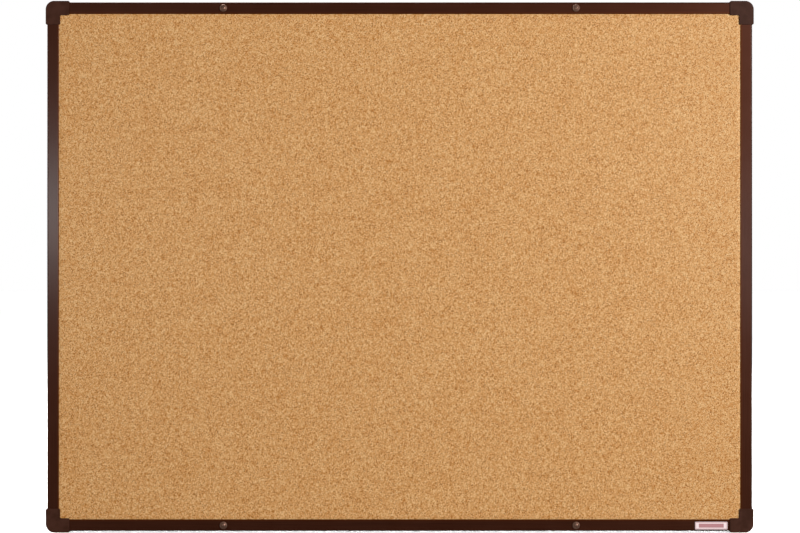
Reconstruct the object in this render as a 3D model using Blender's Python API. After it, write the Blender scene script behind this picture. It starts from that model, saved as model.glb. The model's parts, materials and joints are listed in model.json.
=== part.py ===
"""Framed cork bulletin board, 1200 x 900 mm, as it hangs on a wall.

Every piece is modelled flat, as on a bench with the cork facing up (+Z), and the empty
board_stand then stands the whole board up: its front faces -Y, +X is to the right of someone
who looks at it, and +Z is up. The origin is the middle of the board on the wall's surface.
Heights in this file are distances from the wall. All values are in metres.
"""

import math

import bmesh
import bpy
from mathutils import Vector

# Driving dimensions
BOARD_WIDTH = 1.2  # over the rails' outer sides
BOARD_HEIGHT = 0.9
GAP = 0.0003  # clearance between pieces that touch

RAIL_FACE = 0.020  # width of a rail, seen from the front
RAIL_DEPTH = 0.018
RAIL_WALL = 0.0014
RAIL_LIP = 0.0015  # the lip over the front of the panel
RAIL_TUBE = 0.014  # width of the closed chamber with its walls
RAIL_EDGE = 0.0022  # outer front edge radius
RAIL_SET_BACK = 0.022  # from the corner of the frame to a rail's cut end

CORK_THICKNESS = 0.003
CORK_SQUEEZE = 0.0003  # how far its edges are pressed down under the lips
CORK_SLOPE = 0.0015  # width of the slope between its edges and its face
CORE_THICKNESS = 0.008
REAR_SHEET_THICKNESS = 0.0004
PANEL_INSET = 0.015  # from a rail's outer side to the panel's edge

CAP_WALL = 0.0017
CAP_ARM = 0.040  # from the cap's outer corner to the end of an arm
CAP_CORNER = 0.0145  # outer corner radius
CAP_INNER_CORNER = 0.0022
CAP_ARM_CORNER = 0.0016
CAP_EDGE = 0.0011  # rounding of the front edges

KEY_LEG = 0.055  # from the frame's corner to the tip of a leg
KEY_TIP = 0.002

WALL_SCREW_X = 0.3  # a quarter of the board's width
WALL_SCREW_RADIUS = 0.002
WALL_SCREW_LENGTH = 0.045
WALL_SCREW_HOLE = 0.0025
WALL_HEAD_RADIUS = 0.0039
WALL_HEAD_RIM = 0.00025
WALL_HEAD_RISE = 0.0011
WALL_RECESS = 0.0048  # across the wings of the cross recess
WALL_RECESS_DEPTH = 0.0022
RECESS_TURN = math.radians(5)  # keeps a recess's corners off the edges between a head's facets
WASHER_RADIUS = 0.0065
WASHER_CREST = 0.0047  # radius of the washer's highest ring
WASHER_HEIGHT = 0.0022
WASHER_SHEET = 0.0006
WASHER_HOLE = 0.0025

CORNER_SCREW_ALONG = 0.030  # from the frame's corner
CORNER_SCREW_RADIUS = 0.0013
CORNER_SCREW_LENGTH = 0.0095
CORNER_HEAD_RADIUS = 0.0027
CORNER_RECESS = 0.0030
CORNER_RECESS_DEPTH = 0.0009

LABEL_WIDTH = 0.055
LABEL_HEIGHT = 0.013
LABEL_THICKNESS = 0.0004
LABEL_CORNER = 0.0015
LABEL_X = 0.530
LABEL_FROM_EDGE = 0.0095  # from the bottom rail's lower side to the label's middle

LARGE_RADIUS = 0.005  # a rounding over this gets LARGE_ARC_STEPS, and a smaller one ARC_STEPS
LARGE_ARC_STEPS = 10
ARC_STEPS = 3
CROWN_STEPS = 5  # along a screw head's dome or a washer's crown
FINE_TURN = 24  # segments round a wall screw or washer
COARSE_TURN = 16  # segments round a corner screw

# Heights from the wall that follow from them
RAIL_BACK = CAP_WALL + GAP
RAIL_FRONT = RAIL_BACK + RAIL_DEPTH
CAP_FRONT = RAIL_FRONT + GAP + CAP_WALL
CORK_EDGE = RAIL_FRONT - RAIL_LIP - GAP
CORK_FRONT = CORK_EDGE + CORK_SQUEEZE
CORK_BACK = CORK_FRONT - CORK_THICKNESS
CORE_FRONT = CORK_BACK - GAP
CORE_BACK = CORE_FRONT - CORE_THICKNESS
REAR_SHEET_FRONT = CORE_BACK - GAP
REAR_SHEET_BACK = REAR_SHEET_FRONT - REAR_SHEET_THICKNESS
REAR_LIP_FRONT = REAR_SHEET_BACK - GAP
REAR_LIP_BACK = REAR_LIP_FRONT - RAIL_WALL
CHAMBER_BACK = RAIL_BACK + RAIL_WALL
CHAMBER_FRONT = RAIL_FRONT - RAIL_WALL
CHAMBER_END = RAIL_TUBE - RAIL_WALL  # the chamber's far side, from the rail's outer side
CHAMBER_MIDDLE = RAIL_TUBE / 2

# A corner's name: (left or right, bottom or top, quarter turns from the bottom left corner)
CORNERS = {
    "bottom_left": (-1, -1, 0),
    "bottom_right": (1, -1, 1),
    "top_right": (1, 1, 2),
    "top_left": (-1, 1, 3),
}


def clear_scene():
    for old in list(bpy.data.objects):
        bpy.data.objects.remove(old)


def material(name, colour, roughness, metallic=0.0):
    """A Principled material; the colour is linear RGB."""
    made = bpy.data.materials.new(name)
    made.use_nodes = True
    shader = made.node_tree.nodes["Principled BSDF"]
    shader.inputs["Base Color"].default_value = (*colour, 1.0)
    shader.inputs["Roughness"].default_value = roughness
    shader.inputs["Metallic"].default_value = metallic
    made.diffuse_color = (*colour, 1.0)
    return made


def rounded(corners):
    """An outline through corners (x, y, radius), counter-clockwise, with each one rounded."""
    points = []
    for i, (x, y, radius) in enumerate(corners):
        here = Vector((x, y))
        to_last = (Vector(corners[i - 1][:2]) - here).normalized()
        to_next = (Vector(corners[(i + 1) % len(corners)][:2]) - here).normalized()
        if not radius:
            points.append(here)
            continue
        half = to_last.angle(to_next) / 2
        centre = here + (to_last + to_next).normalized() * (radius / math.sin(half))
        first = here + to_last * (radius / math.tan(half)) - centre
        turn = math.copysign(math.pi - 2 * half, to_next.cross(to_last))
        steps = LARGE_ARC_STEPS if radius > LARGE_RADIUS else ARC_STEPS
        for step in range(steps + 1):
            angle = turn * step / steps
            cos, sin = math.cos(angle), math.sin(angle)
            spoke = Vector((cos * first.x - sin * first.y, sin * first.x + cos * first.y))
            points.append(centre + spoke)
    return points


def corner_outline(near, far, arm, near_radius, far_radius, arm_radius):
    """The outline of an L round a frame corner at the origin, whose arms run along +X and +Y."""
    return rounded(
        [
            (near, near, near_radius),
            (arm, near, arm_radius),
            (arm, far, arm_radius),
            (far, far, far_radius),
            (far, arm, arm_radius),
            (near, arm, arm_radius),
        ]
    )


def prism(outline, low, high, edge=0.0, taper=1.0):
    """An object with this outline from height low to high. edge rounds its top edges, and
    taper is the size of its lower end over that of its upper end."""
    mesh = bpy.data.meshes.new("prism")
    shape = bmesh.new()
    face = shape.faces.new([shape.verts.new((x, y, high)) for x, y in outline])
    lower = bmesh.ops.extrude_face_region(shape, geom=[face])["geom"]
    for vert in [item for item in lower if isinstance(item, bmesh.types.BMVert)]:
        vert.co = (vert.co.x * taper, vert.co.y * taper, low)
    if edge:
        rim = [e for e in shape.edges if all(v.co.z == high for v in e.verts)]
        bmesh.ops.bevel(
            shape, geom=rim, offset=edge, segments=3, profile=0.5, affect="EDGES"
        )
    bmesh.ops.recalc_face_normals(shape, faces=shape.faces)
    shape.to_mesh(mesh)
    shape.free()
    return new_object("prism", mesh)


def turned(profile, segments):
    """An object turned about Z from a profile (radius, height) that runs down its outer side."""
    closed = profile[0][0] > 0
    count = len(profile)
    mesh = bpy.data.meshes.new("profile")
    edges = [(i, (i + 1) % count) for i in range(count if closed else count - 1)]
    mesh.from_pydata([(radius, 0, height) for radius, height in profile], edges, [])
    body = new_object("turned", mesh)
    spin = body.modifiers.new("turn", "SCREW")
    spin.steps = segments
    spin.render_steps = segments
    spin.use_merge_vertices = True
    spin.merge_threshold = 0.00001
    return body


def new_object(name, mesh):
    made = bpy.data.objects.new(name, mesh)
    bpy.context.collection.objects.link(made)
    return made


def finished(body, cutters, name):
    """The body's mesh with its modifiers applied and the cutters taken away, for its copies to
    share. The body and the cutters are removed."""
    for cutter in cutters:
        cutter.hide_render = True
        cutter.display_type = "WIRE"
        cut = body.modifiers.new("cut", "BOOLEAN")
        cut.operation = "DIFFERENCE"
        cut.solver = "EXACT"
        cut.object = cutter
    graph = bpy.context.evaluated_depsgraph_get()
    mesh = bpy.data.meshes.new_from_object(body.evaluated_get(graph), depsgraph=graph)
    mesh.name = name
    mesh.shade_smooth()
    mesh.set_sharp_from_angle(angle=math.radians(30))
    for helper in [body, *cutters]:
        bpy.data.objects.remove(helper)
    return mesh


def place(name, mesh, finish, stand, location=(0, 0, 0), rotation=(0, 0, 0)):
    """A piece on the flat board: its object, with its material, under the standing empty."""
    piece = new_object(name, mesh)
    if not mesh.materials:
        mesh.materials.append(finish)
    piece.parent = stand
    piece.location = location
    piece.rotation_euler = rotation
    return piece


def cross_cutter(across, top, depth, wing=0.22):
    """A cross recess, tapering down from a little over the head's top."""
    half, thin = across / 2, across * wing / 2
    quarter = [(half, -thin), (half, thin), (thin, thin)]
    outline = []
    for turn in range(4):
        angle = turn * math.pi / 2 + RECESS_TURN
        cos, sin = math.cos(angle), math.sin(angle)
        outline += [(cos * x - sin * y, sin * x + cos * y) for x, y in quarter]
    return prism(outline, top - depth, top + 2 * GAP, taper=0.45)


def rectangle(inset, height):
    """The corners, at this height, of a rectangle this far inside the rails' outer sides."""
    x, y = BOARD_WIDTH / 2 - inset, BOARD_HEIGHT / 2 - inset
    return [(-x, -y, height), (x, -y, height), (x, y, height), (-x, y, height)]


def layer_mesh(name, rings):
    """A layer of the panel, skinned over rectangles from its back to its front."""
    verts = [corner for ring in rings for corner in ring]
    faces = [(3, 2, 1, 0)]
    for low in range(0, len(verts) - 4, 4):
        for i in range(4):
            after = (i + 1) % 4
            faces.append((low + i, low + after, low + 4 + after, low + 4 + i))
    faces.append(tuple(range(len(verts) - 4, len(verts))))
    mesh = bpy.data.meshes.new(name)
    mesh.from_pydata(verts, [], faces)
    return finished(new_object(name, mesh), [], name)


def panel_layers(stand, finishes):
    """The cork, the board it is glued to and the sheet behind them, all held in the rails. The
    cork's edges are pressed down under the lips, and its face stands level with their backs."""
    slope_start = RAIL_FACE + GAP + CAP_WALL
    cork = [
        rectangle(PANEL_INSET, CORK_BACK),
        rectangle(PANEL_INSET, CORK_EDGE),
        rectangle(slope_start, CORK_EDGE),
        rectangle(slope_start + CORK_SLOPE, CORK_FRONT),
    ]
    core = [rectangle(PANEL_INSET, CORE_BACK), rectangle(PANEL_INSET, CORE_FRONT)]
    sheet = [rectangle(PANEL_INSET, REAR_SHEET_BACK), rectangle(PANEL_INSET, REAR_SHEET_FRONT)]
    place("cork_sheet", layer_mesh("cork_sheet", cork), finishes["cork"], stand)
    place("backing_board", layer_mesh("backing_board", core), finishes["softboard"], stand)
    place("rear_sheet", layer_mesh("rear_sheet", sheet), finishes["zinc_sheet"], stand)


def rail_mesh(name, length, screw_places):
    """A rail standing on end: X is inwards from its outer side, Y the height from the wall and
    Z along it. Its chamber is open at both ends, and its groove holds the panel."""
    section = rounded(
        [
            (0, RAIL_BACK, 0.001),
            (RAIL_TUBE, RAIL_BACK, 0.0005),
            (RAIL_TUBE, REAR_LIP_BACK, 0),
            (RAIL_FACE, REAR_LIP_BACK, 0.0004),
            (RAIL_FACE, REAR_LIP_FRONT, 0.0004),
            (RAIL_TUBE, REAR_LIP_FRONT, 0),
            (RAIL_TUBE, RAIL_FRONT - RAIL_LIP, 0),
            (RAIL_FACE, RAIL_FRONT - RAIL_LIP, 0.0003),
            (RAIL_FACE, RAIL_FRONT, 0.0009),
            (0, RAIL_FRONT, RAIL_EDGE),
        ]
    )
    chamber = rounded(
        [
            (RAIL_WALL, CHAMBER_BACK, 0.0004),
            (CHAMBER_END, CHAMBER_BACK, 0.0004),
            (CHAMBER_END, CHAMBER_FRONT, 0.0004),
            (RAIL_WALL, CHAMBER_FRONT, 0.0008),
        ]
    )
    cutters = [prism(chamber, -length, length)]
    for along in screw_places:
        bore = turned(
            [(0, RAIL_DEPTH), (WALL_SCREW_HOLE, RAIL_DEPTH), (WALL_SCREW_HOLE, -RAIL_DEPTH)]
            + [(0, -RAIL_DEPTH)],
            FINE_TURN,
        )
        bore.location = (RAIL_FACE / 2, (RAIL_BACK + RAIL_FRONT) / 2, along)
        bore.rotation_euler = (math.pi / 2, 0, 0)
        cutters.append(bore)
    for side in (-1, 1):
        radius = CORNER_SCREW_RADIUS + GAP * 1.5
        hole = turned(
            [(0, RAIL_WALL * 2), (radius, RAIL_WALL * 2), (radius, -RAIL_WALL * 2)]
            + [(0, -RAIL_WALL * 2)],
            COARSE_TURN,
        )
        from_end = CORNER_SCREW_ALONG - RAIL_SET_BACK
        hole.location = (CHAMBER_MIDDLE, RAIL_BACK, side * (length / 2 - from_end))
        hole.rotation_euler = (math.pi / 2, 0, 0)
        cutters.append(hole)
    return finished(prism(section, -length / 2, length / 2), cutters, name)


def rails(stand, finish):
    """Two long and two short rails, cut square short of the corners that the caps cover."""
    long_mesh = rail_mesh(
        "long_rail", BOARD_WIDTH - 2 * RAIL_SET_BACK, (-WALL_SCREW_X, WALL_SCREW_X)
    )
    short_mesh = rail_mesh("short_rail", BOARD_HEIGHT - 2 * RAIL_SET_BACK, ())
    sides = ("rail_bottom", "rail_right", "rail_top", "rail_left")
    for turns, name in enumerate(sides):
        upright = turns % 2
        mesh = short_mesh if upright else long_mesh
        reach = BOARD_WIDTH / 2 if upright else BOARD_HEIGHT / 2
        angle = turns * math.pi / 2
        place(
            name,
            mesh,
            finish,
            stand,
            (reach * math.sin(angle), -reach * math.cos(angle), 0),
            (math.pi / 2, 0, math.pi / 2 + angle),
        )


def corner_screw_places():
    """Where the two screws of a corner stand, from the frame's corner."""
    return (
        (CORNER_SCREW_ALONG, CHAMBER_MIDDLE),
        (CHAMBER_MIDDLE, CORNER_SCREW_ALONG),
    )


def cap_mesh():
    """A corner cap: a moulded sleeve over the rail ends, with a lip down to the cork."""
    outer = GAP + CAP_WALL
    body = prism(
        corner_outline(
            -outer,
            RAIL_FACE + outer,
            CAP_ARM - outer,
            CAP_CORNER,
            CAP_INNER_CORNER,
            CAP_ARM_CORNER,
        ),
        0,
        CAP_FRONT,
        edge=CAP_EDGE,
    )
    sleeve = prism(
        corner_outline(
            -GAP,
            RAIL_FACE + GAP,
            CAP_ARM + CAP_WALL,
            CAP_CORNER - CAP_WALL,
            CAP_INNER_CORNER + CAP_WALL,
            0,
        ),
        CAP_WALL,
        RAIL_FRONT + GAP,
    )
    panel_start = (CHAMBER_END + PANEL_INSET) / 2
    panel_end = CAP_ARM + RAIL_FACE
    panel_room = prism(
        [
            (panel_start, panel_start),
            (panel_end, panel_start),
            (panel_end, panel_end),
            (panel_start, panel_end),
        ],
        CAP_WALL,
        RAIL_FRONT - RAIL_LIP,
    )
    seats = []
    for x, y in corner_screw_places():
        wide = CORNER_HEAD_RADIUS + 1.4 * GAP
        narrow = CORNER_SCREW_RADIUS + 1.4 * GAP
        rim = 0.9 * GAP
        depth = rim + wide - narrow
        seat = turned(
            [(0, 2 * CAP_WALL), (narrow, 2 * CAP_WALL), (narrow, depth), (wide, rim)]
            + [(wide, -CAP_WALL), (0, -CAP_WALL)],
            COARSE_TURN,
        )
        seat.location = (x, y, 0)
        seats.append(seat)
    return finished(body, [sleeve, panel_room, *seats], "corner_cap")


def key_mesh():
    """The angle block inside a corner, pushed into the chambers of both rails."""
    near = RAIL_WALL + GAP
    body = prism(
        corner_outline(
            near,
            CHAMBER_END - GAP,
            KEY_LEG,
            CAP_CORNER - CAP_WALL - 2 * GAP - RAIL_WALL,
            0.001,
            KEY_TIP,
        ),
        CHAMBER_BACK + GAP,
        CHAMBER_FRONT - GAP,
        edge=0.0008,
    )
    pilots = []
    for x, y in corner_screw_places():
        radius = CORNER_SCREW_RADIUS + GAP
        top = CORNER_SCREW_LENGTH + 0.001
        pilot = turned([(0, top), (radius, top), (radius, 0), (0, 0)], COARSE_TURN)
        pilot.location = (x, y, 0)
        pilots.append(pilot)
    return finished(body, pilots, "corner_key")


def corner_screw_mesh():
    """A countersunk tapping screw, head down, that starts flush with the cap's rear face."""
    head = 0.0001
    rim = head + 0.0002
    neck = rim + CORNER_HEAD_RADIUS - CORNER_SCREW_RADIUS
    tip = CORNER_SCREW_LENGTH
    body = turned(
        [(0, tip), (CORNER_SCREW_RADIUS, tip - 0.002), (CORNER_SCREW_RADIUS, neck)]
        + [(CORNER_HEAD_RADIUS, rim), (CORNER_HEAD_RADIUS, head), (0, head)],
        COARSE_TURN,
    )
    recess = cross_cutter(CORNER_RECESS, 0, CORNER_RECESS_DEPTH + head)
    recess.rotation_euler = (math.pi, 0, 0)
    return finished(body, [recess], "corner_screw")


def wall_screw_mesh():
    """A raised countersunk wood screw along Z. The rail's front face is at Z = 0."""
    # The head's cone keeps the gap to the washer's, both at 45 degrees.
    cone = WASHER_CREST - WASHER_HEIGHT - GAP * math.sqrt(2)
    rim = WALL_HEAD_RADIUS - cone
    shoulder = rim + WALL_HEAD_RIM
    bulge = (WALL_HEAD_RADIUS**2 + WALL_HEAD_RISE**2) / (2 * WALL_HEAD_RISE)
    widest = math.asin(WALL_HEAD_RADIUS / bulge)
    dome = []
    for step in range(CROWN_STEPS + 1):
        angle = widest * step / CROWN_STEPS
        height = shoulder + WALL_HEAD_RISE - bulge * (1 - math.cos(angle))
        dome.append((bulge * math.sin(angle), height))
    tip = rim - WALL_SCREW_LENGTH
    body = turned(
        dome
        + [(WALL_HEAD_RADIUS, rim), (WALL_SCREW_RADIUS, WALL_SCREW_RADIUS - cone)]
        + [(WALL_SCREW_RADIUS, tip + 0.005), (0, tip)],
        FINE_TURN,
    )
    top = shoulder + WALL_HEAD_RISE
    recess = cross_cutter(WALL_RECESS, top, WALL_RECESS_DEPTH)
    return finished(body, [recess], "wall_screw")


def washer_mesh():
    """A pressed cup washer along Z, with its rim on Z = 0 and a 45 degree seat inside."""
    seat = WASHER_CREST - WASHER_HEIGHT
    outside = []
    for step in range(CROWN_STEPS + 1):
        angle = math.pi / 2 * step / CROWN_STEPS
        outside.append(
            (
                WASHER_CREST + (WASHER_RADIUS - WASHER_CREST) * math.sin(angle),
                WASHER_HEIGHT * math.cos(angle),
            )
        )
    inner_rim = WASHER_RADIUS - WASHER_SHEET
    inner_top = WASHER_HEIGHT - WASHER_SHEET * math.sqrt(2)
    inside = [
        (inner_rim, 0),
        (inner_rim - 0.0006, inner_top * 0.75),
        (WASHER_CREST, inner_top),
        (WASHER_HOLE + WASHER_SHEET, inner_top + WASHER_HOLE + WASHER_SHEET - WASHER_CREST),
        (WASHER_HOLE, 0),
        (WASHER_HOLE, WASHER_HOLE - seat),
    ]
    return finished(turned(outside + inside, FINE_TURN), [], "cup_washer")


def corners(stand, finishes):
    """The cap, the key and the two screws of each corner of the frame."""
    cap, key, screw = cap_mesh(), key_mesh(), corner_screw_mesh()
    for corner, (side, end, turns) in CORNERS.items():
        angle = turns * math.pi / 2
        at = Vector((side * BOARD_WIDTH / 2, end * BOARD_HEIGHT / 2, 0))
        place(f"corner_cap_{corner}", cap, finishes["cap"], stand, at, (0, 0, angle))
        place(f"corner_key_{corner}", key, finishes["key"], stand, at, (0, 0, angle))
        cos, sin = math.cos(angle), math.sin(angle)
        for number, (x, y) in enumerate(corner_screw_places(), 1):
            spot = at + Vector((cos * x - sin * y, sin * x + cos * y, 0))
            name = f"corner_screw_{corner}_{number}"
            place(name, screw, finishes["screw_steel"], stand, spot, (0, 0, angle))


def wall_fixings(stand, finishes):
    """Four screws in cup washers, through the long rails and into the wall. Each origin is on
    the screw's own axis, at the rail's front face."""
    screw, washer = wall_screw_mesh(), washer_mesh()
    reach = BOARD_HEIGHT / 2 - RAIL_FACE / 2
    for corner, (side, end, _) in CORNERS.items():
        at = (side * WALL_SCREW_X, end * reach, RAIL_FRONT)
        over = (at[0], at[1], RAIL_FRONT + GAP)
        place(f"wall_screw_{corner}", screw, finishes["bronzed"], stand, over)
        place(f"cup_washer_{corner}", washer, finishes["bronzed"], stand, over)


def label(stand, finish):
    """The blank label on the bottom rail, near its right end."""
    half_width, half_height = LABEL_WIDTH / 2, LABEL_HEIGHT / 2
    outline = rounded(
        [
            (-half_width, -half_height, LABEL_CORNER),
            (half_width, -half_height, LABEL_CORNER),
            (half_width, half_height, LABEL_CORNER),
            (-half_width, half_height, LABEL_CORNER),
        ]
    )
    mesh = finished(prism(outline, 0, LABEL_THICKNESS), [], "label")
    at = (LABEL_X, LABEL_FROM_EDGE - BOARD_HEIGHT / 2, RAIL_FRONT + GAP)
    place("rail_label", mesh, finish, stand, at)


def build():
    clear_scene()
    finishes = {
        "cork": material("cork", (0.60, 0.31, 0.115), 0.9),
        "softboard": material("softboard", (0.24, 0.17, 0.10), 0.95),
        "zinc_sheet": material("zinc_sheet", (0.52, 0.54, 0.55), 0.42, 1.0),
        "rail": material("rail", (0.041, 0.012, 0.006), 0.42, 0.42),
        "cap": material("cap", (0.052, 0.018, 0.010), 0.45),
        "key": material("key", (0.02, 0.02, 0.021), 0.6),
        "screw_steel": material("screw_steel", (0.55, 0.52, 0.44), 0.35, 1.0),
        "bronzed": material("bronzed", (0.20, 0.135, 0.108), 0.4, 0.65),
        "label": material("label", (0.90, 0.71, 0.71), 0.38),
    }
    stand = bpy.data.objects.new("board_stand", None)
    bpy.context.collection.objects.link(stand)
    stand.rotation_euler = (math.pi / 2, 0, 0)
    panel_layers(stand, finishes)
    rails(stand, finishes["rail"])
    corners(stand, finishes)
    wall_fixings(stand, finishes)
    label(stand, finishes["label"])


build()
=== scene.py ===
"""The looks of a framed cork bulletin board: its visible pieces, materials, studio and camera.

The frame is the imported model's: +X to the right, +Z up, the cork faces -Y and the wall's surface
is Y = 0. Pieces are modelled flat, with heights measured from the wall, and then stood up.
"""

import json
import math

import bmesh
import bpy
import numpy as np
from mathutils import Matrix, Vector

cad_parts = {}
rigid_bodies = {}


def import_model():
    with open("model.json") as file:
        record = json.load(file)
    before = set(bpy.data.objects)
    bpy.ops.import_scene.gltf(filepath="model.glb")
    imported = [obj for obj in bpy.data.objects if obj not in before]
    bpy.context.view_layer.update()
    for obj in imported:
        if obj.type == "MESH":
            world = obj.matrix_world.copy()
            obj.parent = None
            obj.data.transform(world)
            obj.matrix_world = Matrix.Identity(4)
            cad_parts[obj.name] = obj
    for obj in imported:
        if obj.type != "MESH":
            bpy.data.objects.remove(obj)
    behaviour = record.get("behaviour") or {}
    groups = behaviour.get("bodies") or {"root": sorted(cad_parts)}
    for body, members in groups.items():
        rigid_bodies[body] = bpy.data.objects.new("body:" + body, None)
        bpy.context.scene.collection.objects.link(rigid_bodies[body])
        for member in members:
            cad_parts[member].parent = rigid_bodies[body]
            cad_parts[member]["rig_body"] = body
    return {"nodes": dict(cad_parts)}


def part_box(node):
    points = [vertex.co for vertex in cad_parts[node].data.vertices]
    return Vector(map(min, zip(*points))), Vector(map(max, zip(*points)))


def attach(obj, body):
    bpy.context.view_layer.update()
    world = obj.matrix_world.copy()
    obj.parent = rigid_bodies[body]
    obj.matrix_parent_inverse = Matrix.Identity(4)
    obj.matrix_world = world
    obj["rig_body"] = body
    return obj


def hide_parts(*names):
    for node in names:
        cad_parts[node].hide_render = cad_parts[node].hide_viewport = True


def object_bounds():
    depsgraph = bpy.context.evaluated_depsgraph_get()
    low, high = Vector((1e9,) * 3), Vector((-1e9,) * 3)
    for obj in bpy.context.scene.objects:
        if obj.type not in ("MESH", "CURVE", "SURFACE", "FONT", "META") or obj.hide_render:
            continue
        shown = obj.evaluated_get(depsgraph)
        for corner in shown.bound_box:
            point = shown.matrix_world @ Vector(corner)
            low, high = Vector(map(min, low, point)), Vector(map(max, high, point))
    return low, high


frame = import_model()
CAD_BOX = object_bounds()
MM = 0.001

# The board's own sizes, in metres. Backs and fronts are heights from the wall.
WIDTH, HEIGHT = 1.2, 0.9  # over the rails' outer sides
GAP = 0.0003  # between pieces that touch
RAIL_FACE = 0.020
RAIL_TUBE = 0.014  # width of the closed chamber with its walls
RAIL_WALL = 0.0014
RAIL_LIP = 0.0015
RAIL_BACK = 0.002
RAIL_FRONT = 0.020
RAIL_SET_BACK = 0.022  # from the corner of the frame to a rail's end
REAR_LIP_BACK, REAR_LIP_FRONT = 0.0048, 0.0062
PANEL_INSET = 0.015  # from a rail's outer side to the panel's edge
CORK_EDGE = RAIL_FRONT - RAIL_LIP - GAP
CORK_FRONT = CORK_EDGE + 0.0003
CORK_BACK = CORK_FRONT - 0.003
CORK_SLOPE = 0.0015  # width of the slope between the cork's edges and its face
SHEET_BACK, SHEET_FRONT = 0.0065, 0.0069
CAP_WALL = 0.0017
CAP_ARM = 0.040  # from the cap's outer corner to the end of an arm
CAP_CORNER = 0.0145  # corner radii of its outline: outer, inner and at the ends of the arms
CAP_INNER_CORNER = 0.0022
CAP_ARM_CORNER = 0.0016
CAP_EDGE = 0.0011
LABEL_CORNER = 0.0015
LABEL_EDGE = 0.00012
SCREW_PLACES = ((0.030, 0.007), (0.007, 0.030))  # a corner's two screws, from its corner
CORNER_SCREW_HOLE = 0.00175  # radius, in a rail
CORNER_SCREW_SEAT = 0.00312  # radius of its countersink in a cap
WALL_SCREW_X = 0.3
WALL_SCREW_HOLE = 0.0025  # radius
WALL_SCREW_PITCH = 0.0018
WALL_HEAD_RADIUS = 0.0039
WALL_HEAD_RISE = 0.0011
WASHER_RADIUS = 0.0065
WASHER_CREST = 0.0047  # radius of its highest ring
WASHER_HEIGHT = 0.0022
WASHER_SHEET = 0.0006

# Each corner's side and end of the board, and its quarter turns from the bottom left one
CORNERS = {
    "bottom_left": (-1, -1, 0),
    "bottom_right": (1, -1, 1),
    "top_right": (1, 1, 2),
    "top_left": (-1, 1, 3),
}
STAND_UP = Matrix.Rotation(math.pi / 2, 4, "X")


# Shapes


def rounded(corners, steps=8):
    """An outline through corners (x, y, radius), counter-clockwise, with each one rounded."""
    points = []
    for i, (x, y, radius) in enumerate(corners):
        here = Vector((x, y))
        to_last = (Vector(corners[i - 1][:2]) - here).normalized()
        to_next = (Vector(corners[(i + 1) % len(corners)][:2]) - here).normalized()
        if not radius:
            points.append(here)
            continue
        half = to_last.angle(to_next) / 2
        centre = here + (to_last + to_next).normalized() * (radius / math.sin(half))
        first = here + to_last * (radius / math.tan(half)) - centre
        turn = math.copysign(math.pi - 2 * half, to_next.cross(to_last))
        count = steps * 3 if radius > 0.005 else steps
        for step in range(count + 1):
            spoke = Matrix.Rotation(turn * step / count, 2) @ first
            points.append(centre + spoke)
    return points


def corner_outline(near, far, arm, near_radius, far_radius, arm_radius):
    """The outline of an L round a frame corner at the origin, whose arms run along +X and +Y."""
    return rounded(
        [
            (near, near, near_radius),
            (arm, near, arm_radius),
            (arm, far, arm_radius),
            (far, far, far_radius),
            (far, arm, arm_radius),
            (near, arm, arm_radius),
        ]
    )


def new_object(name, mesh):
    made = bpy.data.objects.new(name, mesh)
    bpy.context.scene.collection.objects.link(made)
    return made


def object_from(shape, name):
    """An object from a bmesh, with its faces turned outwards."""
    bmesh.ops.recalc_face_normals(shape, faces=shape.faces)
    mesh = bpy.data.meshes.new(name)
    shape.to_mesh(mesh)
    shape.free()
    return new_object(name, mesh)


def prism(outline, low, high, edge=0.0, lower_edge=0.0, taper=1.0):
    """An outline from height low to high, with rounded top and bottom edges."""
    shape = bmesh.new()
    face = shape.faces.new([shape.verts.new((x, y, high)) for x, y in outline])
    lower = bmesh.ops.extrude_face_region(shape, geom=[face])["geom"]
    for vert in [item for item in lower if isinstance(item, bmesh.types.BMVert)]:
        vert.co = (vert.co.x * taper, vert.co.y * taper, low)
    for level, radius in ((high, edge), (low, lower_edge)):
        if radius:
            rim = [e for e in shape.edges if all(v.co.z == level for v in e.verts)]
            bmesh.ops.bevel(
                shape, geom=rim, offset=radius, segments=5, profile=0.5, affect="EDGES"
            )
    return object_from(shape, "prism")


def lathe(rings, segments):
    """A closed body over rings (radius, height) from its top to its tip. A radius may be a
    function of the angle."""
    shape = bmesh.new()
    angles = [2 * math.pi * i / segments for i in range(segments)]
    last = None
    for radius, height in rings:
        if radius == 0:
            row = [shape.verts.new((0, 0, height))] * segments
        else:
            row = []
            for angle in angles:
                r = radius(angle) if callable(radius) else radius
                row.append(shape.verts.new((r * math.cos(angle), r * math.sin(angle), height)))
        if last:
            for i in range(segments):
                after = (i + 1) % segments
                corners = [last[i], last[after], row[after], row[i]]
                shape.faces.new(list(dict.fromkeys(corners)))
        last = row
    return object_from(shape, "lathe")


def rod(radius, reach, segments):
    """A cylinder along Z, from -reach to reach."""
    return lathe([(0, reach), (radius, reach), (radius, -reach), (0, -reach)], segments)


def ring_body(profile, segments):
    """A ring turned about Z from a closed profile (radius, height)."""
    shape = bmesh.new()
    rows = []
    for i in range(segments):
        angle = 2 * math.pi * i / segments
        cos, sin = math.cos(angle), math.sin(angle)
        rows.append([shape.verts.new((r * cos, r * sin, z)) for r, z in profile])
    for i, row in enumerate(rows):
        after = rows[(i + 1) % segments]
        for j in range(len(profile)):
            k = (j + 1) % len(profile)
            shape.faces.new((row[j], row[k], after[k], after[j]))
    return object_from(shape, "ring")


def evaluated_mesh(made):
    graph = bpy.context.evaluated_depsgraph_get()
    return bpy.data.meshes.new_from_object(made.evaluated_get(graph), depsgraph=graph)


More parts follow.
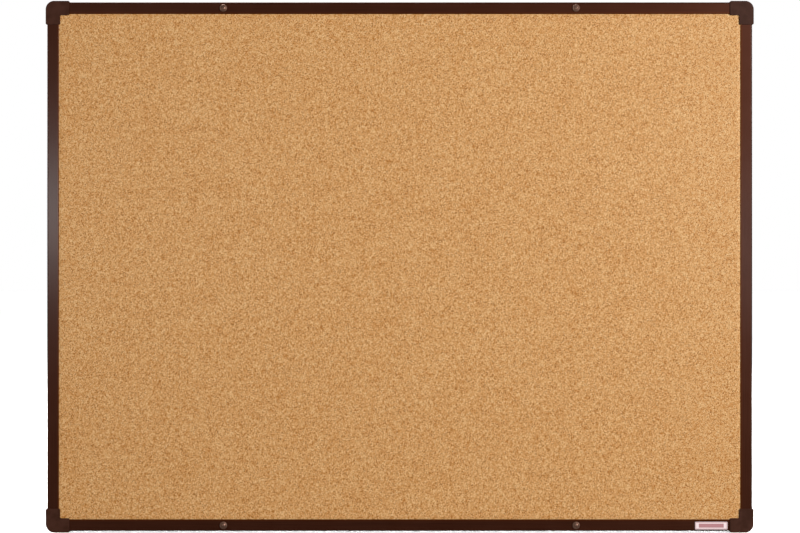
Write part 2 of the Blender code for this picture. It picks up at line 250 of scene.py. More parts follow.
def finished(body, cutters, name, sharp=35):
    """The body's mesh less the cutters, smooth but for its sharp edges. Large faces keep their
    own normals, so that flat sides look flat beside rounded edges."""
    for cutter in cutters:
        cut = body.modifiers.new("cut", "BOOLEAN")
        cut.operation = "DIFFERENCE"
        cut.solver = "EXACT"
        cut.object = cutter
    smooth = new_object(name, evaluated_mesh(body))
    smooth.data.shade_smooth()
    smooth.data.set_sharp_from_angle(angle=math.radians(sharp))
    weigh = smooth.modifiers.new("weigh", "WEIGHTED_NORMAL")
    weigh.keep_sharp = True
    mesh = evaluated_mesh(smooth)
    mesh.name = name
    for helper in [body, smooth, *cutters]:
        bpy.data.objects.remove(helper)
    return mesh


def add_piece(name, mesh, place, node, surface):
    """Adds a visible piece that stands for a CAD node and rides on that node's body."""
    made = new_object(name, mesh)
    if not mesh.materials:
        mesh.materials.append(surface)
    made.matrix_world = place
    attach(made, frame["nodes"][node]["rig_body"])
    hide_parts(node)


# Materials


class Surface:
    """A Principled material, wired node by node. Sizes inside it are in millimetres."""

    def __init__(self, name, roughness, metallic=0.0):
        self.material = bpy.data.materials.new(name)
        self.material.use_nodes = True
        self.tree = self.material.node_tree
        self.shader = self.tree.nodes["Principled BSDF"]
        self.set("Roughness", roughness)
        self.set("Metallic", metallic)
        place = self.node("TexCoord").outputs["Object"]
        self.mm = self.vector("MULTIPLY", place, (1000, 1000, 1000))

    def node(self, kind, inputs=None, **settings):
        made = self.tree.nodes.new("ShaderNode" + kind)
        for key, value in settings.items():
            setattr(made, key, value)
        for key, value in (inputs or {}).items():
            self.feed(made.inputs[key], value)
        return made

    def feed(self, socket, value):
        if isinstance(value, bpy.types.NodeSocket):
            self.tree.links.new(value, socket)
        else:
            socket.default_value = value

    def set(self, socket, value):
        self.feed(self.shader.inputs[socket], value)

    def math(self, operation, a, b=0.0, clamp=False):
        return self.node("Math", {0: a, 1: b}, operation=operation, use_clamp=clamp).outputs[0]

    def vector(self, operation, a, b):
        return self.node("VectorMath", {0: a, 1: b}, operation=operation).outputs[0]

    def fade(self, value, low, high, start=0.0, end=1.0):
        """start up to low, end from high on, and smooth between them."""
        inputs = {0: value, 1: low, 2: high, 3: start, 4: end}
        return self.node("MapRange", inputs, interpolation_type="SMOOTHSTEP").outputs[0]

    def noise(self, size, detail, stretch=(1, 1, 1), where=None):
        at = self.vector("MULTIPLY", where or self.mm, [s / size for s in stretch])
        return self.node("TexNoise", {"Vector": at, "Scale": 1.0, "Detail": detail}).outputs[0]

    def cells(self, size, where=None, feature="F1"):
        at = self.vector("MULTIPLY", where or self.mm, [1 / size] * 3)
        return self.node("TexVoronoi", {"Vector": at, "Scale": 1.0}, feature=feature)

    def mix(self, factor, a, b):
        return self.node("Mix", {0: factor, 6: a, 7: b}, data_type="RGBA").outputs[2]

    def ramp(self, value, stops):
        """Colours (linear RGB) along a value from 0 to 1, the two ends first."""
        made = self.node("ValToRGB", {0: value})
        elements = made.color_ramp.elements
        for i, (position, colour) in enumerate(stops):
            stop = elements[i] if i < 2 else elements.new(position)
            stop.position = position
            stop.color = (*colour, 1)
        return made.outputs[0]

    def bump(self, height, millimetres):
        made = self.node("Bump", {"Height": height, "Distance": millimetres * MM})
        self.set("Normal", made.outputs[0])


def cork_surface():
    """Pressed cork: small irregular granules in several tans, painted shade in the creases between
    them, and bark specks.
    """
    made = Surface("cork", 0.4)
    wander = made.node("TexNoise", {"Vector": made.mm, "Scale": 0.9, "Detail": 2.0})
    shift = made.vector("SUBTRACT", wander.outputs["Color"], (0.5, 0.5, 0.5))
    where = made.vector("ADD", made.mm, made.vector("MULTIPLY", shift, (1.3, 1.3, 1.3)))
    granule = made.cells(1.6, where)
    crumb = made.cells(0.95, where)
    seam = made.cells(1.6, where, "DISTANCE_TO_EDGE").outputs["Distance"]
    grain = made.noise(0.6, 3.0)
    patch = made.noise(7.0, 2.0)
    cloud = made.noise(60.0, 2.0)
    shade = made.math("SUBTRACT", granule.outputs["Color"], 0.5)
    odd_ones = made.math("MULTIPLY", made.math("MULTIPLY", shade, shade), shade)
    common, rare = made.math("MULTIPLY", shade, 0.52), made.math("MULTIPLY", odd_ones, 2.9)
    tone = made.math("ADD", common, rare)
    for part, weight in (
        (crumb.outputs["Color"], 0.40),
        (grain, 0.5),
        (patch, 0.16),
        (cloud, 0.08),
    ):
        step = made.math("MULTIPLY", made.math("SUBTRACT", part, 0.5), weight)
        tone = made.math("ADD", tone, step)
    tone = made.math("ADD", tone, 0.62, clamp=True)
    colour = made.ramp(
        tone,
        [
            (0.0, (0.350, 0.085, 0.008)),
            (1.0, (0.840, 0.556, 0.275)),
            (0.2, (0.450, 0.152, 0.022)),
            (0.4, (0.558, 0.240, 0.060)),
            (0.6, (0.672, 0.346, 0.126)),
            (0.8, (0.768, 0.456, 0.202)),
        ],
    )
    # painted shade: the creases between granules are darkened here, besides being lowered in the
    # bump below
    crease_shade = made.fade(seam, 0.0, 0.07, 0.30, 0.0)
    colour = made.mix(crease_shade, colour, (0.30, 0.11, 0.015, 1))
    bark = made.cells(1.25, made.vector("ADD", where, (31.0, 17.0, 9.0))).outputs["Color"]
    speck = made.fade(bark, 0.70, 0.86, 0.0, 0.95)
    colour = made.mix(speck, colour, (0.27, 0.078, 0.001, 1))
    made.set("Base Color", colour)
    made.set("Specular IOR Level", 0.3)
    made.set("Specular Tint", (1.0, 0.78, 0.5, 1))
    made.set("Roughness", made.fade(grain, 0.25, 0.75, 0.37, 0.49))
    height = made.math("MULTIPLY", granule.outputs["Color"], 0.5)
    height = made.math("ADD", height, made.math("MULTIPLY", crumb.outputs["Color"], 0.3))
    height = made.math("ADD", height, made.math("MULTIPLY", grain, 0.5))
    height = made.math("SUBTRACT", height, crease_shade)
    made.bump(height, 0.06)
    return made.material


def rail_surface():
    """Dark brown satin lacquer on extruded aluminium, with a painted orange reflection of the cork
    at the inner edge of its front. X is across the rail and Z along it.
    """
    made = Surface("rail_coating", 0.42, 0.42)
    streak = made.noise(1.1, 3.0, (1, 1, 0.012))
    mottle = made.noise(45.0, 3.0)
    colour = made.mix(
        made.fade(streak, 0.3, 0.7, 0.0, 1.0),
        (0.035, 0.0098, 0.0046, 1),
        (0.045, 0.0130, 0.0062, 1),
    )
    colour = made.mix(made.fade(mottle, 0.35, 0.7, 0.0, 0.25), colour, (0.056, 0.019, 0.011, 1))
    split = made.node("SeparateXYZ", {0: made.mm})
    # painted reflection: an orange tint that stands for the cork's light reflected on the front's
    # inner edge and lip
    front = made.fade(split.outputs[1], 16.0, 18.0)
    cork_reflection = made.math("MULTIPLY", front, made.fade(split.outputs[0], 16.0, 20.0, 0.0, 0.7))
    colour = made.mix(cork_reflection, colour, (0.080, 0.017, 0.0025, 1))
    edge = made.fade(split.outputs[0], 0.3, 0.9, 1.0, 0.0)
    inner = made.fade(split.outputs[0], 19.3, 19.8)
    rub = made.fade(made.noise(3.0, 5.0, (1, 1, 0.15)), 0.60, 0.70)
    worn = made.math("MULTIPLY", made.math("ADD", edge, inner, clamp=True), rub)
    colour = made.mix(made.math("MULTIPLY", worn, 0.35), colour, (0.13, 0.065, 0.045, 1))
    made.set("Base Color", colour)
    made.set("Roughness", made.fade(streak, 0.25, 0.75, 0.38, 0.47))
    made.set("Specular IOR Level", 0.0)
    made.set("Coat Weight", 0.1)
    made.set("Coat Roughness", 0.2)
    peel = made.noise(1.6, 2.0)
    height = made.math("ADD", peel, made.math("MULTIPLY", streak, 0.5))
    made.bump(height, 0.004)
    return made.material


def plastic_surface(name, colour, light, roughness):
    """Moulded plastic with a spark-eroded texture and faint flow marks."""
    made = Surface(name, roughness)
    spot = made.node("ObjectInfo").outputs["Location"]
    away = made.vector("MULTIPLY", spot, (400, 400, 400))
    where = made.vector("ADD", made.mm, away)
    spark = made.noise(0.55, 3.0, where=where)
    flow = made.noise(14.0, 2.0, (1, 1, 0.4), where=where)
    shade = made.mix(made.fade(flow, 0.3, 0.7), (*colour, 1), (*light, 1))
    shade = made.mix(made.fade(spark, 0.55, 0.75, 0.0, 0.25), shade, (*light, 1))
    made.set("Base Color", shade)
    made.set("Specular IOR Level", 0.05)
    made.set("Roughness", made.fade(spark, 0.3, 0.7, roughness - 0.05, roughness + 0.07))
    made.bump(spark, 0.015)
    return made.material


def softboard_surface():
    """Grey-brown wood fibre board with short fibres in all directions."""
    made = Surface("softboard", 0.95)
    fibre = made.noise(1.6, 5.0, (1, 0.25, 1))
    cross = made.noise(1.6, 5.0, (0.3, 1, 1))
    weave = made.math("MAXIMUM", fibre, cross)
    colour = made.mix(made.fade(weave, 0.4, 0.75), (0.17, 0.115, 0.066, 1), (0.31, 0.23, 0.14, 1))
    made.set("Base Color", colour)
    made.bump(weave, 0.12)
    return made.material


def galvanised_surface():
    """Zinc-coated sheet: small crystal spangles with their own tint and gloss, faint scratches."""
    made = Surface("zinc_sheet", 0.4, 0.85)
    warp = made.node("TexNoise", {"Vector": made.mm, "Scale": 0.2, "Detail": 3.0})
    shift = made.vector("SUBTRACT", warp.outputs["Color"], (0.5, 0.5, 0.5))
    where = made.vector("ADD", made.mm, made.vector("MULTIPLY", shift, (6, 6, 6)))
    crystal = made.cells(7.5, where).outputs["Color"]
    border = made.cells(7.5, where, "DISTANCE_TO_EDGE").outputs["Distance"]
    needles = made.noise(1.2, 3.0, (1, 0.2, 1), where)
    colour = made.mix(made.fade(crystal, 0.1, 0.9), (0.53, 0.55, 0.56, 1), (0.63, 0.65, 0.66, 1))
    colour = made.mix(made.fade(needles, 0.4, 0.7, 0.0, 0.35), colour, (0.50, 0.52, 0.53, 1))
    colour = made.mix(made.fade(border, 0.0, 0.05, 0.25, 0.0), colour, (0.47, 0.48, 0.49, 1))
    haze = made.noise(160.0, 3.0)
    colour = made.mix(made.fade(haze, 0.35, 0.7, 0.0, 0.25), colour, (0.52, 0.53, 0.53, 1))
    made.set("Base Color", colour)
    scratch = made.fade(made.noise(1.0, 4.0, (0.02, 1, 1)), 0.62, 0.72)
    rough = made.fade(crystal, 0.1, 0.9, 0.43, 0.50)
    made.set("Roughness", made.math("ADD", rough, made.math("MULTIPLY", scratch, 0.10)))
    made.bump(made.math("ADD", needles, scratch), 0.003)
    return made.material


def metal_surface(name, colour, tarnish, roughness, metallic=1.0):
    """A plated or bronzed metal with fine turning marks and a little tarnish in places."""
    made = Surface(name, roughness, metallic)
    marks = made.noise(0.25, 3.0, (0.15, 0.15, 1))
    cloud = made.noise(2.2, 3.0)
    shade = made.mix(made.fade(cloud, 0.45, 0.75, 0.0, 0.7), (*colour, 1), (*tarnish, 1))
    made.set("Base Color", shade)
    made.set("Roughness", made.fade(marks, 0.3, 0.7, roughness - 0.04, roughness + 0.08))
    made.bump(marks, 0.003)
    return made.material


def label_surface():
    """Pinkish white film with a thin red keyline and one plain bar, and no lettering."""
    made = Surface("label_film", 0.38)
    split = made.node("SeparateXYZ", {0: made.mm})
    across = made.math("ABSOLUTE", split.outputs[0])
    up = made.math("ABSOLUTE", split.outputs[1])
    from_side = made.math("SUBTRACT", 27.5, across)
    from_end = made.math("SUBTRACT", 6.5, up)
    inset = made.math("MINIMUM", from_side, from_end)
    line_start, line_end = made.fade(inset, 0.75, 0.85), made.fade(inset, 1.35, 1.45, 1.0, 0.0)
    line = made.math("MULTIPLY", line_start, line_end)
    bar_side, bar_end = made.fade(across, 21.0, 21.3, 1.0, 0.0), made.fade(up, 3.3, 3.5, 1.0, 0.0)
    bar = made.math("MULTIPLY", bar_side, bar_end)
    ink = made.math("ADD", line, made.math("MULTIPLY", bar, 0.8), clamp=True)
    dots = made.noise(0.35, 2.0)
    ink = made.math("MULTIPLY", ink, made.fade(dots, 0.2, 0.5, 0.8, 1.0))
    age = made.fade(made.noise(18.0, 3.0), 0.4, 0.8, 0.0, 0.4)
    film = made.mix(age, (0.97, 0.79, 0.79, 1), (0.91, 0.72, 0.71, 1))
    made.set("Base Color", made.mix(ink, film, (0.38, 0.070, 0.088, 1)))
    made.set("Roughness", made.fade(dots, 0.3, 0.7, 0.33, 0.45))
    made.bump(dots, 0.004)
    return made.material


# Pieces


def cork_piece(surface):
    """The cork: a closed slab whose front is a fine uneven net, pressed down at its edges."""
    rng = np.random.default_rng(11)
    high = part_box("cork_sheet")[1]
    slope_start = RAIL_FACE + GAP + CAP_WALL
    slope_end = slope_start + CORK_SLOPE
    jitter, wave_depth, grain_depth = 0.34, 0.02 * MM, 0.03 * MM

    def lines(half_frame, edge, count):
        """Places across the sheet: its edges, where its slopes start, and its face between."""
        start, rim = half_frame - slope_start, half_frame - slope_end
        return np.array([-edge, -start, *np.linspace(-rim, rim, count), start, edge])

    xs = lines(WIDTH / 2, high.x, 336)
    ys = lines(HEIGHT / 2, high.z, 248)
    columns, rows = len(xs), len(ys)
    gx, gy = np.meshgrid(xs, ys)
    heights = np.full(gx.shape, CORK_FRONT)
    for edge in (slice(0, 2), slice(-2, None)):
        heights[edge, :] = CORK_EDGE
        heights[:, edge] = CORK_EDGE
    step = xs[4] - xs[3]
    inner = (slice(3, -3), slice(3, -3))
    shape = gx[inner].shape
    gx[inner] += rng.uniform(-jitter, jitter, shape) * step
    gy[inner] += rng.uniform(-jitter, jitter, shape) * step
    coarse = rng.normal(0, 1, (rows // 12 + 2, columns // 12 + 2))
    row_at = np.linspace(0, coarse.shape[0] - 1.001, rows)
    column_at = np.linspace(0, coarse.shape[1] - 1.001, columns)
    r0, c0 = row_at.astype(int), column_at.astype(int)
    fr, fc = (row_at - r0)[:, None], (column_at - c0)[None, :]
    wave = (
        coarse[r0][:, c0] * (1 - fr) * (1 - fc)
        + coarse[r0 + 1][:, c0] * fr * (1 - fc)
        + coarse[r0][:, c0 + 1] * (1 - fr) * fc
        + coarse[r0 + 1][:, c0 + 1] * fr * fc
    )
    heights[inner] += wave[inner] * wave_depth + rng.normal(0, grain_depth, shape)
    front = np.stack([gx, gy, heights], axis=-1).reshape(-1, 3)
    rim_index = (
        [(0, c) for c in range(columns)]
        + [(r, columns - 1) for r in range(1, rows)]
        + [(rows - 1, c) for c in range(columns - 2, -1, -1)]
        + [(r, 0) for r in range(rows - 2, 0, -1)]
    )
    rim = [r * columns + c for r, c in rim_index]
    back = front[rim].copy()
    back[:, 2] = CORK_BACK
    verts = np.concatenate([front, back])
    faces = []
    for r in range(rows - 1):
        base = r * columns
        for c in range(columns - 1):
            a = base + c
            faces.append((a, a + 1, a + columns + 1, a + columns))
    first = len(front)
    count = len(rim)
    for i in range(count):
        after = (i + 1) % count
        faces.append((rim[after], rim[i], first + i, first + after))
    faces.append(tuple(range(len(verts) - 1, first - 1, -1)))
    mesh = bpy.data.meshes.new("cork_face")
    mesh.from_pydata(verts.tolist(), [], faces)
    mesh.shade_smooth()
    mesh.set_sharp_from_angle(angle=math.radians(40))
    add_piece("cork_face", mesh, STAND_UP, "cork_sheet", surface)


def rear_plate(surface):
    """The galvanised sheet behind the board, a little wavy between its edges."""
    half_x = WIDTH / 2 - PANEL_INSET
    half_y = HEIGHT / 2 - PANEL_INSET
    columns, rows = 61, 47
    wave_height = 0.04 * MM
    rng = np.random.default_rng(5)
    waves = [(rng.uniform(2, 7), rng.uniform(2, 7), rng.uniform(0, 6.3)) for _ in range(7)]
    verts = []
    for level in (SHEET_BACK, SHEET_FRONT):
        for y in np.linspace(-half_y, half_y, rows):
            for x in np.linspace(-half_x, half_x, columns):
                calm = (1 - (x / half_x) ** 4) * (1 - (y / half_y) ** 4)
                lift = sum(math.sin(a * x / half_x + b * y / half_y + c) for a, b, c in waves)
                verts.append((x, y, level + wave_height * lift * calm))
    faces = []
    top = columns * rows
    for r in range(rows - 1):
        for c in range(columns - 1):
            a = r * columns + c
            quad = (a, a + 1, a + columns + 1, a + columns)
            faces.append(quad[::-1])
            faces.append(tuple(i + top for i in quad))
    rim = list(range(columns)) + [r * columns + columns - 1 for r in range(1, rows)]
    rim += list(range(top - 2, top - columns - 1, -1))
    rim += [r * columns for r in range(rows - 2, 0, -1)]
    for a, b in zip(rim, rim[1:] + rim[:1]):
        faces.append((a, b, b + top, a + top))
    mesh = bpy.data.meshes.new("rear_plate")
    mesh.from_pydata(verts, [], faces)
    mesh.shade_smooth()
    mesh.set_sharp_from_angle(angle=math.radians(40))
    add_piece("rear_plate", mesh, STAND_UP, "rear_sheet", surface)


def rail_mesh(name, length, screw_places):
    """A rail standing on end: X is inwards from its outer side, Y the height from the wall and
    Z along it. Its chamber is open at both ends, and its groove holds the panel."""
    # Corners of the section, each with its radius
    section = rounded(
        [
            (0, RAIL_BACK, 0.001),
            (RAIL_TUBE, RAIL_BACK, 0.0005),
            (RAIL_TUBE, REAR_LIP_BACK, 0),
            (RAIL_FACE, REAR_LIP_BACK, 0.0004),
            (RAIL_FACE, REAR_LIP_FRONT, 0.0004),
            (RAIL_TUBE, REAR_LIP_FRONT, 0),
            (RAIL_TUBE, RAIL_FRONT - RAIL_LIP, 0),
            (RAIL_FACE, RAIL_FRONT - RAIL_LIP, 0.0003),
            (RAIL_FACE, RAIL_FRONT, 0.0009),
            (0, RAIL_FRONT, 0.0022),
        ]
    )
    inner = RAIL_TUBE - RAIL_WALL
    chamber = rounded(
        [
            (RAIL_WALL, RAIL_BACK + RAIL_WALL, 0.0004),
            (inner, RAIL_BACK + RAIL_WALL, 0.0004),
            (inner, RAIL_FRONT - RAIL_WALL, 0.0004),
            (RAIL_WALL, RAIL_FRONT - RAIL_WALL, 0.0008),
        ]
    )
    cutters = [prism(chamber, -length, length)]
    for along in screw_places:
        bore = rod(WALL_SCREW_HOLE, 0.03, 48)
        bore.location = (RAIL_FACE / 2, (RAIL_BACK + RAIL_FRONT) / 2, along)
        cutters.append(bore)
    for side in (-1, 1):
        hole = rod(CORNER_SCREW_HOLE, 0.003, 32)
        from_end = SCREW_PLACES[0][0] - RAIL_SET_BACK
        hole.location = (RAIL_TUBE / 2, RAIL_BACK, side * (length / 2 - from_end))
        cutters.append(hole)
    for cutter in cutters[1:]:
        cutter.rotation_euler = (math.pi / 2, 0, 0)
    return finished(prism(section, -length / 2, length / 2), cutters, name)


def rail_pieces(surface):
    """The four rails, each turned a quarter further round the board than the one before."""
    screws = (-WALL_SCREW_X, WALL_SCREW_X)
    long_rail = rail_mesh("long_rail", WIDTH - 2 * RAIL_SET_BACK, screws)
    short_rail = rail_mesh("short_rail", HEIGHT - 2 * RAIL_SET_BACK, ())
    for turns, side in enumerate(("bottom", "right", "top", "left")):
        mesh = short_rail if turns % 2 else long_rail
        reach = WIDTH / 2 if turns % 2 else HEIGHT / 2
        angle = turns * math.pi / 2
        at = Matrix.Translation((reach * math.sin(angle), -reach * math.cos(angle), 0))
        turn = Matrix.Rotation(math.pi / 2 + angle, 4, "Z") @ Matrix.Rotation(math.pi / 2, 4, "X")
        place = STAND_UP @ at @ turn
        add_piece(f"frame_rail_{side}", mesh, place, f"rail_{side}", surface)


def cap_mesh():
    """A corner cap: a moulded sleeve over the rail ends, with a lip down to the cork."""
    outer = GAP + CAP_WALL
    front = RAIL_FRONT + GAP + CAP_WALL
    body = prism(
        corner_outline(
            -outer,
            RAIL_FACE + outer,
            CAP_ARM - outer,
            CAP_CORNER,
            CAP_INNER_CORNER,
            CAP_ARM_CORNER,
        ),
        0,
        front,
        edge=CAP_EDGE,
        lower_edge=0.0004,
    )
    sleeve = prism(
        corner_outline(
            -GAP,
            RAIL_FACE + GAP,
            CAP_ARM + CAP_WALL,
            CAP_CORNER - CAP_WALL,
            CAP_INNER_CORNER + CAP_WALL,
            0,
        ),
        CAP_WALL,
        RAIL_FRONT + GAP,
    )
    start, end = (RAIL_TUBE - RAIL_WALL + PANEL_INSET) / 2, CAP_ARM + RAIL_FACE
    panel_room = prism(
        [(start, start), (end, start), (end, end), (start, end)],
        CAP_WALL,
        RAIL_FRONT - RAIL_LIP,
    )
    seats = []
    wide, narrow, land = CORNER_SCREW_SEAT, 0.00172, 0.00027
    for x, y in SCREW_PLACES:
        rings = [(0, 2 * CAP_WALL), (narrow, 2 * CAP_WALL), (narrow, land + wide - narrow)]
        rings += [(wide, land), (wide, -CAP_WALL), (0, -CAP_WALL)]
        seat = lathe(rings, 40)
        seat.location = (x, y, 0)
        seats.append(seat)
    return finished(body, [sleeve, panel_room, *seats], "corner_cap")


def thread(core, crest, pitch, height, strength):
    """A ring's radius on a right-hand V thread, as a function of the angle."""

    def radius(angle):
        turn = (height / pitch - angle / (2 * math.pi)) % 1.0
        ridge = max(0.0, 1 - abs(turn - 0.5) / 0.27)
        return core + (crest - core) * ridge * strength

    return radius


def screw_mesh(name, head, recess, shank, core, crest, pitch, plain, tip, segments):
    """A screw along Z, head up. head is the rings of its head down to the neck, shank, core and
    crest are radii, plain is the height where the plain shank ends, and tip the tip's height."""
    neck = head[-1][1]
    rings = list(head) + [(shank, neck - 0.0002), (shank, plain + 0.0004)]
    rows = int(round((plain - tip) / pitch * 12))
    taper = min(0.005, (plain - tip) * 0.45)
    for row in range(rows):
        height = plain + (tip - plain) * row / rows
        rise = min(1.0, row / 10)
        narrow = min(1.0, (height - tip) / taper) ** 0.75
        rings.append((thread(core * narrow, crest * narrow, pitch, height, rise), height))
    rings.append((0, tip))
    return finished(lathe(rings, segments), [recess], name, sharp=50)


def cross_recess(across, top, depth):
    """A cutter for a cross recess, tapering down from a little over the head's top."""
    half, thin = across / 2, across * 0.11
    round_off = thin * 0.5
    outline = []
    for turn in range(4):
        spin = Matrix.Rotation(turn * math.pi / 2 + math.radians(5), 2)
        for x, y, radius in ((half, -thin, round_off), (half, thin, round_off), (thin, thin, 0)):
            spot = spin @ Vector((x, y))
            outline.append((spot.x, spot.y, radius))
    return prism(rounded(outline, 3), top - depth, top + 0.0006, taper=0.45)


def wall_screw_mesh():
    """A raised countersunk screw whose 45 degree cone sits in a cup washer based on Z = 0."""
    cone = WASHER_CREST - WASHER_HEIGHT - GAP * math.sqrt(2)  # from the cone's apex up to Z = 0
    wide, rise, neck = WALL_HEAD_RADIUS, WALL_HEAD_RISE, 0.0019
    rim = wide - cone
    top = rim + 0.00025 + rise
    bulge = (wide**2 + rise**2) / (2 * rise)
    widest = math.asin(wide / bulge)
    head = [(0, top)]
    for step in range(1, 15):
        angle = widest * step / 14
        head.append((bulge * math.sin(angle), top - bulge * (1 - math.cos(angle))))
    head += [(wide, rim), (neck, neck - cone)]
    return screw_mesh(
        "wall_screw",
        head,
        cross_recess(0.0048, top, 0.0022),
        shank=0.0015,
        core=0.00125,
        crest=0.002,
        pitch=WALL_SCREW_PITCH,
        plain=-0.013,
        tip=rim - 0.045,
        segments=48,
    )


def corner_screw_mesh():
    """A countersunk tapping screw, its head a little below Z = 0."""
    top, rim, wide, narrow = -0.0001, -0.0003, 0.0027, 0.0013
    head = [(0, top), (wide - 0.0004, top), (wide - 0.0001, top)]
    head += [(wide, top - 0.00006), (wide, rim), (narrow, rim - wide + narrow)]
    return screw_mesh(
        "corner_screw",
        head,
        cross_recess(0.0030, top, 0.0009),
        shank=0.0012,
        core=0.0009,
        crest=0.0013,
        pitch=0.0009,
        plain=-0.0024,
        tip=-0.0095,
        segments=40,
    )


def washer_mesh():
    """A pressed cup washer along Z, with its rim on Z = 0 and a 45 degree seat inside."""
    radius, crest, height = WASHER_RADIUS, WASHER_CREST, WASHER_HEIGHT
    sheet, hole = WASHER_SHEET, WALL_SCREW_HOLE
    outside = []
    for step in range(17):
        angle = math.pi / 2 * step / 16
        outside.append((crest + (radius - crest) * math.sin(angle), height * math.cos(angle)))
    rim = radius - sheet
    top = height - sheet * math.sqrt(2)
    inside = [
        (rim, 0),
        (rim - 0.00025, top * 0.45),
        (rim - 0.0006, top * 0.75),
        (crest, top),
        (hole + sheet, top + hole + sheet - crest),
        (hole, 0),
        (hole, hole - (crest - height)),
        (hole + 0.0009, hole + 0.0009 - (crest - height)),
        (crest - 0.0002, height - 0.00015),
    ]
    return finished(ring_body(outside + inside, 96), [], "cup_washer", sharp=50)


def fixings(bronzed, zinc, cap_plastic):
    """The caps, their screws, and the wall screws in their washers."""
    cap, corner_screw = cap_mesh(), corner_screw_mesh()
    wall_screw, washer = wall_screw_mesh(), washer_mesh()
    turn_over = Matrix.Rotation(math.pi, 4, "X")
    for corner, (side, end, turns) in CORNERS.items():
        at = Matrix.Translation((side * WIDTH / 2, end * HEIGHT / 2, 0))
        local = STAND_UP @ at @ Matrix.Rotation(turns * math.pi / 2, 4, "Z")
        node = f"corner_cap_{corner}"
        add_piece(f"cap_{corner}", cap, local, node, cap_plastic)
        for number, (x, y) in enumerate(SCREW_PLACES, 1):
            node = f"corner_screw_{corner}_{number}"
            spin = Matrix.Rotation(0.9 * number + 1.7 * turns, 4, "Z")
            place = local @ Matrix.Translation((x, y, 0)) @ turn_over @ spin
            name = f"frame_screw_{corner}_{number}"
            add_piece(name, corner_screw, place, node, zinc)
        reach = HEIGHT / 2 - RAIL_FACE / 2
        place = STAND_UP @ Matrix.Translation((side * WALL_SCREW_X, end * reach, RAIL_FRONT + GAP))
        spun = place @ Matrix.Rotation(0.5 + 1.1 * turns, 4, "Z")
        node = f"wall_screw_{corner}"
        add_piece(f"fixing_screw_{corner}", wall_screw, spun, node, bronzed)
        node = f"cup_washer_{corner}"
        add_piece(f"fixing_cup_{corner}", washer, place, node, bronzed)


def label_piece(surface):
    """The blank label on the bottom rail."""
    low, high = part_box("rail_label")
    x, y = (high.x - low.x) / 2, (high.z - low.z) / 2
    corners = [(*spot, LABEL_CORNER) for spot in ((-x, -y), (x, -y), (x, y), (-x, y))]
    body = prism(rounded(corners), 0, high.y - low.y, edge=LABEL_EDGE)
    middle = (low + high) / 2
    place = Matrix.Translation((middle.x, high.y, middle.z)) @ STAND_UP
    mesh = finished(body, [], "blank_label")
    add_piece("blank_label", mesh, place, "rail_label", surface)


def repaint(node, surface):
    """Gives a CAD node whose shape is right already its finished material."""
    for one in frame["nodes"][node].material_slots:
        one.material = surface


# Studio

AMBIENT = 0.04
FLOOR_FILL = 3.0  # the part of the floor's light that casts no shadows
OVERHEAD = 1.1  # the part that does
FLOOR_REACH = 30.0
CAMERA_PLACE = (0.0005, -RAIL_FRONT - 3.2135, 0.0003)
# Each lamp's place, diameter, power in watts and the point it faces
LAMPS = {
    "right": ((2.9, -5.0, 1.1), 0.6, 276, (0, 0, 0)),
    "left_glint": ((-1.2, -3.25, 0.19), 0.3, 19.5, (-0.6, 0, 0.1)),
    "right_glint": ((1.2, -3.25, 0.10), 0.5, 7, (0.6, 0, 0.05)),
    "rear": ((2.0, 4.2, 1.8), 3.6, 320, (0, 0, 0)),
    "top": ((-0.6, 1.2, 3.2), 1.6, 130, (0, 0, 0)),
    "side": ((-3.6, 0.9, 0.9), 1.4, 110, (0, 0, 0)),
}


def white_surroundings():
    """White to the camera's eye, and faint as a light."""
    world = bpy.data.worlds.new("studio")
    bpy.context.scene.world = world
    world.use_nodes = True
    tree = world.node_tree
    tree.nodes.clear()
    output = tree.nodes.new("ShaderNodeOutputWorld")
    blend = tree.nodes.new("ShaderNodeMixShader")
    rays = tree.nodes.new("ShaderNodeLightPath")
    tree.links.new(rays.outputs["Is Camera Ray"], blend.inputs[0])
    for socket, strength in ((1, AMBIENT), (2, 1.0)):
        sky = tree.nodes.new("ShaderNodeBackground")
        sky.inputs["Color"].default_value = (1, 1, 1, 1)
        sky.inputs["Strength"].default_value = strength
        tree.links.new(sky.outputs[0], blend.inputs[socket])
    tree.links.new(blend.outputs[0], output.inputs["Surface"])


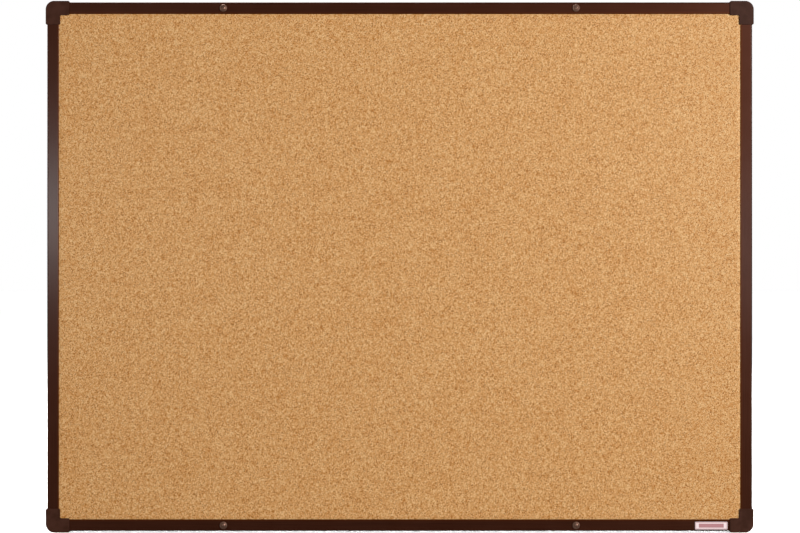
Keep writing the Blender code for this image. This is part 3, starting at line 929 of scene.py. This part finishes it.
def pale_floor():
    """A floor just under the board, with suns of its own that light nothing else."""
    level, reach = CAD_BOX[0][2] - 0.2 * MM, FLOOR_REACH
    corners = [(-reach, -reach), (reach, -reach), (reach, reach), (-reach, reach)]
    mesh = bpy.data.meshes.new("floor")
    mesh.from_pydata([(x, y, level) for x, y in corners], [], [(0, 1, 2, 3)])
    floor = new_object("floor", mesh)
    paint = Surface("floor_paint", 0.9)
    tint = paint.fade(paint.noise(400.0, 2.0), 0.3, 0.7)
    paint.set("Base Color", paint.mix(tint, (0.79, 0.79, 0.79, 1), (0.81, 0.81, 0.81, 1)))
    mesh.materials.append(paint.material)
    floor.visible_diffuse = False
    floor.visible_glossy = False

    only_floor = bpy.data.collections.new("only_floor")
    only_floor.objects.link(floor)
    for name, energy, casts in (("floor_fill", FLOOR_FILL, False), ("overhead", OVERHEAD, True)):
        sun = bpy.data.lights.new(name, "SUN")
        sun.energy = energy
        sun.angle = math.radians(70)
        sun.use_shadow = casts
        new_object(name, sun).light_linking.receiver_collection = only_floor


def studio():
    scene = bpy.context.scene
    scene.view_settings.view_transform = "Standard"
    white_surroundings()
    pale_floor()
    for name, (place, diameter, power, aim) in LAMPS.items():
        lamp = bpy.data.lights.new(name, "AREA")
        lamp.shape = "DISK"
        lamp.size = diameter
        lamp.energy = power
        hung = new_object(name, lamp)
        hung.location = place
        toward = Vector(aim) - Vector(place)
        hung.rotation_euler = toward.to_track_quat("-Z", "Y").to_euler()

    camera = bpy.data.cameras.new("camera")
    camera.lens = 85
    camera.sensor_width = 36
    view = new_object("camera", camera)
    view.location = CAMERA_PLACE
    view.rotation_euler = (math.pi / 2, 0, 0)
    scene.camera = view


cork_piece(cork_surface())
rear_plate(galvanised_surface())
rail_pieces(rail_surface())
fixings(
    metal_surface("bronzed", (0.216, 0.115, 0.078), (0.123, 0.058, 0.037), 0.40, 0.65),
    metal_surface("zinc_screw", (0.55, 0.52, 0.44), (0.42, 0.38, 0.30), 0.32),
    plastic_surface("cap_plastic", (0.043, 0.0145, 0.0075), (0.062, 0.0225, 0.0135), 0.45),
)
label_piece(label_surface())
key_plastic = plastic_surface("key_plastic", (0.018, 0.018, 0.019), (0.03, 0.03, 0.03), 0.6)
for corner in CORNERS:
    repaint(f"corner_key_{corner}", key_plastic)
repaint("backing_board", softboard_surface())
studio()
